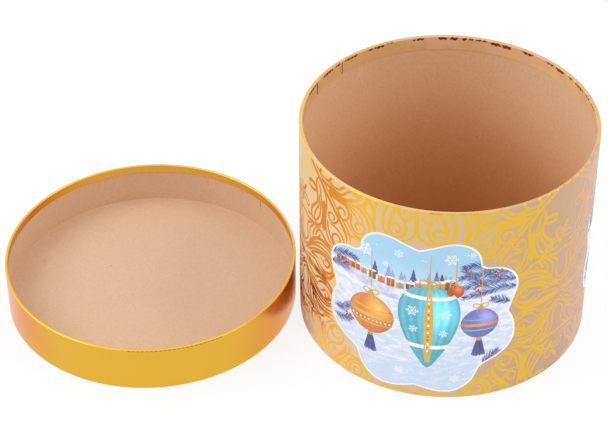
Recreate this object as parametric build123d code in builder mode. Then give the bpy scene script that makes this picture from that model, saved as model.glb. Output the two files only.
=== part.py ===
from build123d import *
from dataclasses import dataclass
from math import degrees
import os

# Round gift tube with a slip-on lid. The tube stands on its base, and the lid lies beside it
# on its own top, mouth up, as it is put down after opening. Both are made alike: a wound board
# wall with a ply inside it, a round board in the closed end, and a paper wrapped round the lot.
# Millimetres and degrees, +Z up, origin in the middle of the tube's base on the floor.

# Tube
tube_diameter = 180.0  # over the printed paper
tube_height = 143.0
tube_board = 1.2  # wound wall
tube_ply = 0.3  # kraft lining of the wall
base_thickness = 2.0
base_ply = 0.2  # kraft disc on the base, inside
printed_paper = 0.2
base_paper = 0.2  # disc under the base
mouth_turn_in = 9.5  # printed paper folded into the mouth
base_turn_under = 12.0  # printed paper folded under the base
base_paper_margin = 3.0  # from the fold to the edge of the disc under the base
tube_seam_turn = 80.0  # where the wrap's two ends lap, anticlockwise from +X
tube_ply_turn = -100.0  # where the ply's two edges butt
tube_slit_turns = (139.5, 157.0)  # cuts in the turned-in paper

# Lid
lid_height = 31.0
lid_wall = 0.6  # wound hoop
lid_ply = 0.2
lid_thickness = 2.0  # round board in the lid
lid_floor_ply = 0.2
foil_paper = 0.2
lid_paper = 0.2  # foil disc on the lid's top
lid_turn_in = 4.0  # foil paper folded into the lid's mouth
lid_turn_over = 12.0  # foil paper folded over the lid's top
lid_paper_margin = 1.0
lid_seam_turn = 44.5
lid_clearance = 0.2  # all round, between the lid's mouth and the lap on the tube

# Both
standing_gap = 2.9  # between the tube and the lid where they stand
glue_line = 0.15  # glue and slack between two round layers
disc_ease = 0.5  # a lining disc is cut this much short of its wall
lap_width = 12.0  # how far a wrap's end laps over its start
lap_mitre = 2.0  # the lapped end is cut away this far from each fold
ply_gap = 0.4  # open joint between a ply's edges
tab_count = 36  # tabs in a fold over a closed end
notch_gap = 2.4  # open width of a notch at the tabs' tips
notch_stop = 1.5  # from the notch's point to the fold
slit_width = 0.4  # cut in the turned-in paper
slit_stop = 0.8  # from the cut's top to the rim
overrun = 1.0  # how far a cutting shape passes the face that it cuts


@dataclass
class Cup:
    """A wrapped round wall with a closed end on the floor: the tube, or the lid on its back."""

    x: float
    radius: float  # over the wrap
    height: float
    board: float
    ply: float
    wrap: float
    end_board: float
    end_ply: float
    cover: float
    cover_margin: float
    turn_in: float
    turn_under: float
    seam_turn: float

    def __post_init__(self):
        self.axis = Axis((self.x, 0, 0), (0, 0, 1))
        self.wrap_radius = self.radius - self.wrap
        self.board_radius = self.wrap_radius - glue_line
        self.ply_radius = self.board_radius - self.board - glue_line
        self.bore_radius = self.ply_radius - self.ply
        self.seat_radius = self.bore_radius - glue_line  # of what is glued inside the ply
        self.foot = self.cover + self.wrap  # underside of the boards
        self.rim = self.height - self.wrap  # top of the boards

    def level(self, height):
        return Plane((self.x, 0, height))

    def section(self, turn):
        """The upright plane through the axis: its X is the radius and its Y is the height."""
        out = Vector(1, 0, 0).rotate(Axis.Z, turn)
        return Plane((self.x, 0, 0), x_dir=out, z_dir=out.rotate(Axis.Z, -90))


def wound_wall(cup):
    with BuildPart() as wall:
        with BuildSketch(cup.level(cup.foot)):
            Circle(cup.board_radius)
            Circle(cup.board_radius - cup.board, mode=Mode.SUBTRACT)
        extrude(amount=cup.rim - cup.foot)
    return wall


def wall_lining(cup, joint_turn):
    """A ply bent round inside the wall until its edges nearly meet."""
    open_angle = degrees(ply_gap / cup.bore_radius)
    with BuildPart() as lining:
        with BuildSketch(cup.section(joint_turn + open_angle / 2)):
            with Locations((cup.bore_radius, cup.foot)):
                Rectangle(cup.ply, cup.rim - cup.foot, align=(Align.MIN, Align.MIN))
        revolve(axis=cup.axis, revolution_arc=360 - open_angle)
    return lining


def disc(cup, radius, bottom, thickness):
    with BuildPart() as sheet:
        with BuildSketch(cup.level(bottom)):
            Circle(radius)
        extrude(amount=thickness)
    return sheet


def sheet_section(cup, turn, lapped):
    """The paper's section, with its inner face on the boards: over the rim and under the end."""
    with BuildSketch(cup.section(turn)) as section:
        with BuildLine():
            Polyline(
                (cup.seat_radius, cup.height - cup.turn_in),
                (cup.seat_radius, cup.rim),
                (cup.wrap_radius, cup.rim),
                (cup.wrap_radius, cup.foot),
                (cup.radius - cup.turn_under, cup.foot),
            )
            offset(amount=cup.wrap, side=Side.LEFT, kind=Kind.INTERSECTION)
        make_face()
        if lapped:
            with Locations((cup.wrap_radius, cup.cover + lap_mitre)):
                Rectangle(
                    2 * cup.wrap,
                    cup.height - cup.cover - 2 * lap_mitre,
                    align=(Align.MIN, Align.MIN),
                )
    return section.sketch


def folded_wrap(cup, slit_turns):
    """The paper round the wall, over the rim into the mouth, and under the end in tabs."""
    tab_tips = cup.radius - cup.turn_under
    notch_depth = cup.turn_under - notch_stop
    notch_mouth = notch_gap * (notch_depth + overrun) / notch_depth
    lap_angle = degrees(lap_width / cup.radius)
    with BuildPart() as wrap:
        revolve(
            sheet_section(cup, cup.seam_turn, lapped=False),
            axis=cup.axis,
            revolution_arc=360 - lap_angle,
        )
        # the end that laps over the start
        revolve(
            sheet_section(cup, cup.seam_turn - lap_angle, lapped=True),
            axis=cup.axis,
            revolution_arc=lap_angle,
        )
        # notches, so that the fold lies flat on the round end
        with BuildSketch(cup.level(cup.cover)):
            with PolarLocations(tab_tips, tab_count):
                Polygon(
                    (-overrun, notch_mouth / 2),
                    (-overrun, -notch_mouth / 2),
                    (notch_depth, 0),
                    align=None,
                )
        extrude(amount=cup.wrap, mode=Mode.SUBTRACT)
        # cuts that let the turned-in paper lie on the curve
        for turn in slit_turns:
            with BuildSketch(cup.section(turn)):
                with Locations((cup.seat_radius, cup.rim - slit_stop)):
                    Rectangle(cup.wrap + overrun, cup.turn_in, align=(Align.MAX, Align.MAX))
            extrude(amount=slit_width / 2, both=True, mode=Mode.SUBTRACT)
    return wrap


box = Cup(
    x=0,
    radius=tube_diameter / 2,
    height=tube_height,
    board=tube_board,
    ply=tube_ply,
    wrap=printed_paper,
    end_board=base_thickness,
    end_ply=base_ply,
    cover=base_paper,
    cover_margin=base_paper_margin,
    turn_in=mouth_turn_in,
    turn_under=base_turn_under,
    seam_turn=tube_seam_turn,
)

# the lid's wall is built outwards from the lap on the tube that it slips over
lid_mouth_radius = box.radius + box.wrap + lid_clearance
lid_radius = lid_mouth_radius + lid_ply + lid_wall + 2 * foil_paper + 3 * glue_line
lid = Cup(
    x=-(box.radius + standing_gap + lid_radius),
    radius=lid_radius,
    height=lid_height,
    board=lid_wall,
    ply=lid_ply,
    wrap=foil_paper,
    end_board=lid_thickness,
    end_ply=lid_floor_ply,
    cover=lid_paper,
    cover_margin=lid_paper_margin,
    turn_in=lid_turn_in,
    turn_under=lid_turn_over,
    seam_turn=lid_seam_turn,
)

pieces = {
    "box_tube": wound_wall(box),
    "box_lining": wall_lining(box, tube_ply_turn),
    "box_wrap": folded_wrap(box, tube_slit_turns),
    "base_board": disc(box, box.seat_radius, box.foot, box.end_board),
    "base_lining": disc(
        box, box.bore_radius - disc_ease, box.foot + box.end_board, box.end_ply
    ),
    "base_cover": disc(box, box.radius - box.cover_margin, 0, box.cover),
    "lid_hoop": wound_wall(lid),
    "lid_lining": wall_lining(lid, lid_seam_turn),
    "lid_wrap": folded_wrap(lid, ()),
    "lid_board": disc(lid, lid.seat_radius, lid.foot, lid.end_board),
    "lid_board_lining": disc(
        lid, lid.bore_radius - disc_ease, lid.foot + lid.end_board, lid.end_ply
    ),
    "lid_cover": disc(lid, lid.radius - lid.cover_margin, 0, lid.cover),
}

os.makedirs("parts", exist_ok=True)
for node, piece in pieces.items():
    piece.part.label = node
    export_step(piece.part, f"parts/{node}.step")
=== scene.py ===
import math
import bpy
import numpy as np
from mathutils import Matrix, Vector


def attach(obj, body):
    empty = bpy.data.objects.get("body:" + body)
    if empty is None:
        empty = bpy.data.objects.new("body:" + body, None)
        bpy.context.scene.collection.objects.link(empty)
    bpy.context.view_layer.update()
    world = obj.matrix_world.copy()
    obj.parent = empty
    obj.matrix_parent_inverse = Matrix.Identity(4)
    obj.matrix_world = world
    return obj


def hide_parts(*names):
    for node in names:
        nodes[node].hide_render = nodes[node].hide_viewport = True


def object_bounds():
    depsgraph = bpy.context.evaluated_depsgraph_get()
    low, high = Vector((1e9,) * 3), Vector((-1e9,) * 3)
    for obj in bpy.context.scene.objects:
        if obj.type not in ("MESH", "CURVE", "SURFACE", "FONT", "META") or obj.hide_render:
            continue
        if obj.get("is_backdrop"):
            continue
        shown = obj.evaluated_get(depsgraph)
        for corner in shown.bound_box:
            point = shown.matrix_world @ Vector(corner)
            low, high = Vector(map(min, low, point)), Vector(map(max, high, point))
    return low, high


# A round gift tube with its lid off. The frame brings the solids, and this script gives them
# paper, foil, print and light. Metres, +Z up, the tube's axis at the origin, the lid at -X.
# Shapes are worked out in millimetres and made metres when they go into a mesh.

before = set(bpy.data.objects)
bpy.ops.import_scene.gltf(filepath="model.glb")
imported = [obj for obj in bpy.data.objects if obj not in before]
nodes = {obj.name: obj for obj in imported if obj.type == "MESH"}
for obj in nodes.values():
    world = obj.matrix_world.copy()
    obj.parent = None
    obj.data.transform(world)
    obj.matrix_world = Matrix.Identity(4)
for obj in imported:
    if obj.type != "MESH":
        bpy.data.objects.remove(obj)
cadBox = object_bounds()
print("frame:", len(nodes), "solids")


def paint(red, green, blue):  # a colour as seen on screen, 0 to 255, in linear light
    screen = np.array([red, green, blue]) / 255
    light = np.where(screen < 0.04045, screen / 12.92, ((screen + 0.055) / 1.055) ** 2.4)
    return (*light.tolist(), 1.0)


class Wire:  # an output socket that can stand in a sum
    def __init__(self, finish, socket):
        self.finish, self.socket = finish, socket

    def maths(self, operation, *values):
        return self.finish.node("ShaderNodeMath", {"operation": operation}, dict(enumerate(values)))

    def __add__(self, other):
        return self.maths("ADD", self, other)

    def __sub__(self, other):
        return self.maths("SUBTRACT", self, other)

    def __rsub__(self, other):
        return self.maths("SUBTRACT", other, self)

    def __mul__(self, other):
        return self.maths("MULTIPLY", self, other)

    def __truediv__(self, other):
        return self.maths("DIVIDE", self, other)

    __radd__, __rmul__ = __add__, __mul__

    def rise(self, low, high):  # 0 below low, 1 above high, smooth between
        limits = {"Value": self, "From Min": low, "From Max": high}
        return self.finish.node("ShaderNodeMapRange", {"interpolation_type": "SMOOTHSTEP"}, limits)


class Finish:  # a material, built from its nodes
    def __init__(self, name, tree=None):
        if tree is None:
            self.material = bpy.data.materials.new(name)
            self.material.use_nodes = True
            tree = self.material.node_tree
        self.tree = tree
        tree.nodes.clear()

    def node(self, kind, settings=None, inputs=None, output=0):
        made = self.tree.nodes.new(kind)
        for setting, value in (settings or {}).items():
            setattr(made, setting, value)
        for socket, value in (inputs or {}).items():
            if isinstance(value, Wire):
                self.tree.links.new(value.socket, made.inputs[socket])
            else:
                made.inputs[socket].default_value = value
        return Wire(self, made.outputs[output]) if made.outputs else None

    def place(self, stretch=(1, 1, 1)):  # Object coordinates, finer along an axis with a larger number
        where = self.node("ShaderNodeTexCoord", output="Object")
        return self.node("ShaderNodeVectorMath", {"operation": "MULTIPLY"}, {0: where, 1: stretch})

    def part(self, vector, axis):
        return self.node("ShaderNodeSeparateXYZ", inputs={0: vector}, output=axis)

    def reach(self, axis):  # one of the Object coordinates, in millimetres
        return self.part(self.node("ShaderNodeTexCoord", output="Object"), axis) * 1000

    def cloud(self, grain, detail=2.0, stretch=(1, 1, 1), rough=0.5):  # noise, its blotches grain mm apart
        inputs = {"Vector": self.place(stretch), "Scale": 1000 / grain, "Detail": detail, "Roughness": rough}
        return self.node("ShaderNodeTexNoise", inputs=inputs)

    def specks(self, apart, across, share):  # dots in a share of the cells, apart and across in millimetres
        size = {"Vector": self.place(), "Scale": 1000 / apart}
        near = self.node("ShaderNodeTexVoronoi", inputs=size, output="Distance")
        chosen = self.node("ShaderNodeTexVoronoi", inputs=size, output="Color")
        lot = self.node("ShaderNodeSeparateColor", inputs={0: chosen})
        dot = 1 - near.rise(0.3 * across / apart, 0.7 * across / apart)
        return dot * lot.maths("LESS_THAN", lot, share)

    def mix(self, share, first, second, way="MIX"):
        both = {0: share, 6: first, 7: second}
        return self.node("ShaderNodeMix", {"data_type": "RGBA", "blend_type": way}, both, output=2)

    def bump(self, relief, depth):  # relief from 0 to 1, depth in millimetres
        inputs = {"Height": relief, "Distance": depth / 1000, "Strength": 1.0}
        return self.node("ShaderNodeBump", inputs=inputs)

    def cover(self, **sockets):  # the Principled shader over the whole surface
        named = {name.replace("_", " "): value for name, value in sockets.items()}
        shader = self.node("ShaderNodeBsdfPrincipled", inputs=named)
        self.node("ShaderNodeOutputMaterial", inputs={"Surface": shader})
        return self.material


# Finishes. Each is one dictionary and the nodes that read it, with places in millimetres.

slitTurns = (139.5, 157.0)  # where the tube's turned-in paper is cut, in degrees

kraft = {
    "tone": paint(230, 188, 148),
    "shade": paint(216, 170, 128),
    "speck": paint(122, 84, 52), "specks": (6.5, 0.7, 0.22),  # apart, across, in what share of places
    "fibre": 0.8,
    "blotch": 22,
    "low": (1, 1, 1, 1), "high": (1, 1, 1, 1),  # painted shade near the base and painted light near the mouth,
    "paintedLightRight": (1, 1, 1, 1),  # and more painted light near the mouth at the right
    "heights": (20, 120), "paintedLightRightwards": (-20, 80),  # where this painted shade and light pass into each other
    "cuts": (), "cutShadeTone": paint(44, 22, 8), "cutShadeFoot": (133, 133.6),  # painted shade behind the cuts, from here up
}


def kraftFinish(name, settings):  # unbleached paper: long soft fibres, blotches and a few dark specks
    finish = Finish(name)
    fibres = finish.cloud(settings["fibre"], 6, (1, 1, 0.45), 0.62)
    blotches = finish.cloud(settings["blotch"], 3)
    grain = finish.cloud(settings["fibre"] * 2.4, 2)
    east, north, height = (finish.reach(axis) for axis in "XYZ")
    pulp = (fibres * 1.3 + grain * 0.6 + blotches * 0.25 - 0.58).rise(0, 1)
    tone = finish.mix(pulp, settings["shade"], settings["tone"])
    tone = finish.mix(finish.specks(*settings["specks"]) * 0.55, tone, settings["speck"])
    # painted light near the mouth, more at the right, and painted shade near the base, as tints on the paper's
    # tone
    high = finish.mix(east.rise(*settings["paintedLightRightwards"]), settings["high"], settings["paintedLightRight"])
    paintedShadeAndLight = finish.mix(height.rise(*settings["heights"]), settings["low"], high)
    tone = finish.mix(1.0, tone, paintedShadeAndLight, "MULTIPLY")
    # painted shade behind each cut in the turned-in paper
    for turn in settings["cuts"]:
        aside = north.maths("ARCTAN2", north, east) - math.radians(turn)
        near = (1 - (aside * aside).rise(0.01**2, 0.02**2)) * height.rise(*settings["cutShadeFoot"])
        tone = finish.mix(near * 0.9, tone, settings["cutShadeTone"])
    rough, relief = 0.78 + fibres * 0.12, finish.bump(fibres, 0.09)
    return finish.cover(Base_Color=tone, Roughness=rough, Normal=relief, Specular_IOR_Level=0.28)


paleKraft = kraft | {"tone": paint(228, 194, 163), "shade": paint(216, 178, 145), "speck": paint(120, 92, 66)}

printed = {
    "tone": paint(223, 190, 146),
    "left": paint(235, 204, 157), "leftOver": (-75, -20),  # where along X it passes from one tone to the next
    "right": paint(199, 161, 129), "rightOver": (-10, 62),
    "farRight": paint(188, 163, 155), "farRightOver": (70, 88),
    "gilt": paint(226, 190, 112), "giltOver": (105, 142), "giltEnd": (-10, 45),  # by height, and along X
    "farRim": paint(209, 174, 127), "rimOver": (142.6, 142.9), "farOver": (-20, 50),  # by height, and along Y
    "mouthOver": (87.9, 88.2), "mouthFoot": (120, 125),  # the turned-in paper, by radius and by height,
    "inside": paint(229, 182, 122), "paintedLightInsideRight": paint(250, 208, 150),  # takes on the lining's colour, with painted light towards the right
    "insideOver": (-20, 70),
    "insidePale": paint(240, 198, 158), "paleOver": (-45, -15),
    "fibre": 0.5, "fibreTone": paint(190, 140, 96),
}


def printedFinish(name, settings):
    # beige coated paper, yellower at the left, pinker at the right, golden near the front rim
    finish = Finish(name)
    tooth = finish.cloud(settings["fibre"], 4)
    drift = finish.cloud(60, 2)
    east, north, height = (finish.reach(axis) for axis in "XYZ")
    aside = east + drift * 20 - 10
    tone = finish.mix(aside.rise(*settings["leftOver"]), settings["left"], settings["tone"])
    tone = finish.mix(aside.rise(*settings["rightOver"]), tone, settings["right"])
    tone = finish.mix(aside.rise(*settings["farRightOver"]), tone, settings["farRight"])
    gilt = height.rise(*settings["giltOver"]) * (1 - aside.rise(*settings["giltEnd"])) * 0.5
    tone = finish.mix(gilt, tone, settings["gilt"])
    farRim = height.rise(*settings["rimOver"]) * north.rise(*settings["farOver"])
    tone = finish.mix(farRim, tone, settings["farRim"])
    low, high = (radius**2 for radius in settings["mouthOver"])
    inside = (1 - (east * east + north * north).rise(low, high)) * height.rise(*settings["mouthFoot"])
    # the turned-in paper: the lining's colour, with painted light towards the right
    turnedInToneAndLight = finish.mix(aside.rise(*settings["insideOver"]), settings["inside"], settings["paintedLightInsideRight"])
    pale = finish.cloud(11, 2).rise(0.4, 0.56) * aside.rise(*settings["paleOver"]) * 0.85
    turnedInToneAndLight = finish.mix(pale, turnedInToneAndLight, settings["insidePale"])
    tone = finish.mix(inside, tone, turnedInToneAndLight)
    tone = finish.mix(tooth * 0.16, tone, settings["fibreTone"])
    rough, relief = 0.42 + tooth * 0.14, finish.bump(tooth, 0.02)
    return finish.cover(Base_Color=tone, Roughness=rough, Normal=relief, Specular_IOR_Level=0.4)


foil = {
    "gold": paint(233, 188, 66),
    "orange": paint(232, 140, 52),
    "pale": paint(238, 196, 146),
    "rough": 0.2,
    "ripple": 9,
    "middle": -185,  # X of the axis of the wall that it covers
    "orangeReflectionLeft": (50, 92), "orangeReflectionRight": (45, 92),  # how far left and right of the axis a painted orange reflection sets in
    "paleReflectionLeft": (200, 300), "paleReflectionRight": (200, 300),  # and turns pale, also painted reflection
    "rim": paint(238, 194, 76), "rimFrom": (300, 301),  # the rim, and the heights between which it sets in
    "mouth": paint(240, 206, 106), "mouthWithin": 0,  # a paler painted reflection inside the mouth, which is so far from the axis,
    "mouthFade": 60, "mouthFrom": (20, 24),  # square millimetres over which it sets in, and the height
    "ember": paint(128, 38, 14), "emberLeft": (200, 300),  # dark red glints, this far left of the axis,
    "emberFrom": (8, 30), "emberTo": (58, 84),  # between these heights
}


def foilFinish(name, settings):
    # hot-pressed mirror foil with faint ripples and a fine grain, and painted reflection: orange and pale at
    # the sides, paler in the mouth, dark red glints
    finish = Finish(name)
    drift = finish.cloud(settings["ripple"] * 7, 1)
    grain = finish.cloud(0.6, 3)
    ripples = finish.cloud(settings["ripple"], 2, (1, 1, 0.35))
    north, height = finish.reach("Y"), finish.reach("Z")
    right = finish.reach("X") - settings["middle"]
    left = 0 - right
    # painted reflection: orange towards the sides and pale further out
    orangeReflection = left.rise(*settings["orangeReflectionLeft"]) + right.rise(*settings["orangeReflectionRight"])
    orange = (orangeReflection * 0.75 + drift.rise(0.5, 0.75) * 0.3).rise(0, 1)
    tone = finish.mix(orange, settings["gold"], settings["orange"])
    pale = left.rise(*settings["paleReflectionLeft"]) + right.rise(*settings["paleReflectionRight"])
    tone = finish.mix(pale, tone, settings["pale"])
    # painted reflection: paler gold inside the mouth
    within = settings["mouthWithin"] ** 2
    aside = (right * right + north * north).rise(within - settings["mouthFade"], within)
    mouth = (1 - aside) * height.rise(*settings["mouthFrom"])
    tone = finish.mix(mouth * (1 - orangeReflection), tone, settings["mouth"])
    low = height.rise(*settings["emberFrom"]) * (1 - height.rise(*settings["emberTo"]))
    glints = left.rise(*settings["emberLeft"]) * low * finish.cloud(5, 3, (1, 1, 0.4)).rise(0.42, 0.6)
    tone = finish.mix(glints * 0.92, tone, settings["ember"])
    rim = height.rise(*settings["rimFrom"])
    tone = finish.mix(rim, tone, settings["rim"])
    rough = settings["rough"] + grain * 0.1 + (pale + rim) * 0.12
    relief = finish.bump(ripples * 0.94 + grain * 0.06, 0.05)
    return finish.cover(Base_Color=tone, Metallic=1.0, Roughness=rough, Normal=relief)


tubeFoil = foil | {"middle": 0, "ripple": 4, "rough": 0.3, "orangeReflectionLeft": (200, 300), "orangeReflectionRight": (200, 300)}

finishes = {
    "tubeKraft": kraftFinish("tubeKraftPaper", kraft | {
        # painted shade near the base, painted light near the mouth and more at the right
        "low": (0.92, 0.8, 0.64, 1), "high": (1.06, 1.09, 1.11, 1), "paintedLightRight": (1.14, 1.28, 1.46, 1),
        # painted shade behind these cuts
        "cuts": slitTurns,
    }),
    "paleKraft": kraftFinish("paleKraftPaper", paleKraft),
    "board": kraftFinish("greyBoard", kraft | {"tone": paint(186, 150, 116), "shade": paint(160, 124, 90)}),
    "printed": printedFinish("printedPaper", printed),
    "foil": foilFinish("lidFoil", foil | {
        # painted reflections: orange at the sides, pale further out, paler gold inside the mouth
        "gold": paint(230, 180, 60), "orange": paint(234, 141, 50), "pale": paint(240, 206, 176),
        "orangeReflectionLeft": (42, 86), "paleReflectionLeft": (80, 98), "paleReflectionRight": (80, 118),
        "rimFrom": (30.2, 30.6), "mouthWithin": 90.85,
    }),
    "pressedFoil": foilFinish("pressedFoil", tubeFoil | {
        # painted reflections: yellow-orange on the left, pale on the right, dark red glints low on the left
        "orange": paint(254, 190, 80), "pale": paint(228, 182, 136), "rough": 0.26, "ripple": 5,
        "orangeReflectionLeft": (20, 80), "paleReflectionRight": (60, 80), "emberLeft": (62, 82),
    }),
    "shadedFoil": foilFinish("shadedFoil", tubeFoil | {
        "gold": paint(148, 64, 22), "orange": paint(196, 112, 48), "orangeReflectionRight": (14, 30),
    }),
    "rimFoil": foilFinish("rimFoil", tubeFoil | {"gold": paint(246, 196, 70)}),
}
print("finishes:", len(finishes))


def addObject(name, data):
    made = bpy.data.objects.new(name, data)
    bpy.context.scene.collection.objects.link(made)
    return made


def makePiece(name, places, faces, finish, body, slot, replaced=(), ink=None, flat=None):
    # places is n x 3 in millimetres, and faces is m x 4; each point has an ink colour and a flat place at most
    mesh = bpy.data.meshes.new(name)
    mesh.vertices.add(len(places))
    mesh.vertices.foreach_set("co", (np.asarray(places) / 1000).astype(np.float32).ravel())
    mesh.loops.add(faces.size)
    mesh.loops.foreach_set("vertex_index", faces.astype(np.int32).ravel())
    mesh.polygons.add(len(faces))
    mesh.polygons.foreach_set("loop_start", np.arange(len(faces), dtype=np.int32) * 4)
    mesh.update(calc_edges=True)
    mesh.shade_smooth()
    mesh.set_sharp_from_angle(angle=math.radians(38))
    if ink is not None:
        colours = mesh.attributes.new("ink", "FLOAT_COLOR", "POINT")
        colours.data.foreach_set("color", ink.astype(np.float32).ravel())
    if flat is not None:
        for use in ("flat", "OFBake"):
            layer = mesh.uv_layers.new(name=use)
            layer.data.foreach_set("uv", flat[faces.ravel()].astype(np.float32).ravel())
    mesh.materials.append(finish)
    piece = addObject(name, mesh)
    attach(piece, body)
    if replaced:
        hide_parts(*replaced)
    return piece


def gridFaces(rows, columns, closedAcross=False, closedAround=False):  # four-sided, between neighbours
    index = np.arange(rows * columns).reshape(rows, columns)
    if closedAcross:
        index = np.vstack([index, index[:1]])
    if closedAround:
        index = np.hstack([index, index[:, :1]])
    return np.stack([index[:-1, :-1], index[:-1, 1:], index[1:, 1:], index[1:, :-1]], -1).reshape(-1, 4)


def turned(cup, radius, height, turn):  # cylinder coordinates round the cup's axis to X, Y, Z
    radius, height, turn = np.broadcast_arrays(radius, height, turn)
    return np.stack([cup["x"] + radius * np.cos(turn), radius * np.sin(turn), height], -1).reshape(-1, 3)


# The tube's and the lid's paper. fold is the radius of a folded edge, mouth the turned-in paper's own radius.

tube = {
    "x": 0, "radius": 89.9, "height": 142.95, "foot": 0.22, "thick": 0.15, "mouth": 87.69, "fold": 0.5,
    "turnIn": 9.5, "turnUnder": 12, "tabs": 36, "notch": 2.4, "notchStop": 1.5,
    "slits": slitTurns, "slitWide": (0.65, 1.15), "slitStop": 0.56,
    "lapEnd": 80.0, "lapWide": 12, "lapSlope": 2.5, "lapFrom": 2.2, "lapTo": 141,
    "unevenCut": 0.25,
    "columns": 480, "bend": 7, "hair": 0.02,  # points round the cup and round a fold, width of a cut edge
}
lid = tube | {
    "x": -184.95, "radius": 92.02, "height": 31, "foot": 0.2, "thick": 0.2, "mouth": 90.4, "fold": 0.45,
    "turnIn": 5.6, "slits": (), "slitWide": (), "lapEnd": 44.5, "lapTo": 29, "unevenCut": 0.2,
}
tubeLining = {"outer": 88.3, "inner": 88.0, "joint": -100, "gaps": [(142.8, 0.4), (0.4, 0.4)]}
lidLining = {
    "outer": 90.95, "inner": 90.75, "joint": 44.5, "gaps": [(30.8, 0.95), (21, 0.5), (17, 0.03), (0.4, 0.03)],
}
lidFloor = {"outer": 90.73, "foot": 2.4, "thick": 0.2, "soft": 0.5}


def wander(turn, seed):  # an even wave round the cup, from -1 to 1, of a few uneven beats
    beats = np.array([5, 9, 14, 23]) + seed % 3
    return sum(np.sin(beat * turn + seed * (k + 1.7)) for k, beat in enumerate(beats)) / 4


def fromTurn(turn, middle):  # angle between turn and middle, from -pi to pi
    return (turn - middle + np.pi) % (2 * np.pi) - np.pi


def ease(t):  # 0 up to 0, 1 from 1 on, smooth between
    t = np.clip(t, 0, 1)
    return t**2 * (3 - 2 * t)


def lapRise(cup, turn, height):
    # how far the lapped paper stands out: it climbs over the sheet's start and stops at its own cut edge
    past = fromTurn(turn, math.radians(cup["lapEnd"])) * cup["radius"]
    on = (past <= 0) & (past > -cup["lapWide"]) & (height > cup["lapFrom"]) & (height < cup["lapTo"])
    return cup["thick"] * ease((past + cup["lapWide"]) / cup["lapSlope"]) * on


def paperTurns(cup):  # columns of the sheet: even ones, and close pairs at each cut edge
    hair = cup["hair"] / cup["radius"]
    wide = np.array(cup["slitWide"])[:, None] / cup["mouth"]
    cuts = np.radians(cup["slits"])[:, None] + np.array([-1, 1]) * wide / 2
    cuts = np.r_[cuts.ravel(), math.radians(cup["lapEnd"])]
    tips = np.arange(cup["tabs"])[:, None] * 2 * np.pi / cup["tabs"]
    half = cup["notch"] / 2 / (cup["radius"] - cup["turnUnder"])
    notches = (tips + np.array([-1, -0.5, 0, 0.5, 1]) * half).ravel()
    even = np.linspace(0, 2 * np.pi, cup["columns"], endpoint=False)
    return np.unique(np.r_[even, np.r_[notches, cuts - hair, cuts + hair] % (2 * np.pi)])


def foldedPaper(cup):
    # One face of the sheet runs from the tabs under the end, round the lower fold, up the wall, over the rim
    # in two quarter turns and down into the mouth. The other is the same line run back, a thickness in.
    turn, hair = paperTurns(cup), cup["hair"]
    tip = cup["radius"] - cup["turnUnder"]
    aside = np.abs(fromTurn(turn * cup["tabs"], 0)) / cup["tabs"] * tip / (cup["notch"] / 2)
    under = np.minimum(cup["turnUnder"], cup["notchStop"] + (cup["turnUnder"] - cup["notchStop"]) * aside)
    inside = cup["turnIn"] + cup["unevenCut"] * wander(turn, 4)
    for slit, wide in zip(np.radians(cup["slits"]), cup["slitWide"]):
        inside = np.where(np.abs(fromTurn(turn, slit)) * cup["mouth"] < wide / 2, cup["slitStop"], inside)
    level = 0 * turn
    bend = np.linspace(0, np.pi / 2, cup["bend"])[:, None] + level
    s, c = np.sin(bend), np.cos(bend)
    k = np.linspace(0, 1, 5)[:, None]
    low, high = cup["lapFrom"], cup["lapTo"]
    wall = np.r_[low - hair, low + hair, np.linspace(low, high, 12)[1:-1], high - hair, high + hair]
    sides = []
    for off in (0, cup["thick"]):
        radius, mouth = cup["radius"] - off, cup["mouth"] + off
        foot, top = cup["foot"] + off, cup["height"] - off
        fold = cup["fold"] - off
        out, inner, upper = radius - fold, mouth + fold, top - fold
        up = np.r_[foot + fold, wall, upper][:, None] + level
        r = np.vstack([
            out - (under - off - fold) * (1 - k), out + fold * s, radius + lapRise(cup, turn, up),
            out + fold * c, inner - fold * s, mouth + 0 * k + level,
        ])
        z = np.vstack([
            foot + 0 * k + level, foot + fold - fold * c, up,
            upper + fold * s, upper + fold * c, upper - (inside - off - fold) * k,
        ])
        sides.append((r, z))
    (r, z), (backR, backZ) = sides
    r, z = np.vstack([r, backR[::-1]]), np.vstack([z, backZ[::-1]])
    return turned(cup, r, z, turn), gridFaces(*r.shape, closedAcross=True, closedAround=True)


def lining(cup, outer, inner, joint, gaps, columns=361):
    # a ply bent round inside the wall: a strip carried round the axis, open at its joint by the gap given
    # for each height, from the top down
    heights, wide = np.array(gaps).T
    half = np.r_[wide, wide[::-1]][:, None] / 2 / inner
    turn = math.radians(joint) + half + (2 * np.pi - 2 * half) * np.linspace(0, 1, columns)
    r = np.repeat((inner, outer), len(gaps))[:, None] + 0 * turn
    z = np.r_[heights, heights[::-1]][:, None] + 0 * turn
    rows = len(r)
    ends = np.array([(k, k + 1, rows - 2 - k, rows - 1 - k) for k in range(len(gaps) - 1)]) * columns
    faces = [gridFaces(rows, columns, closedAcross=True), ends, ends[:, ::-1] + columns - 1]
    return turned(cup, r, z, turn), np.vstack(faces)


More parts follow.
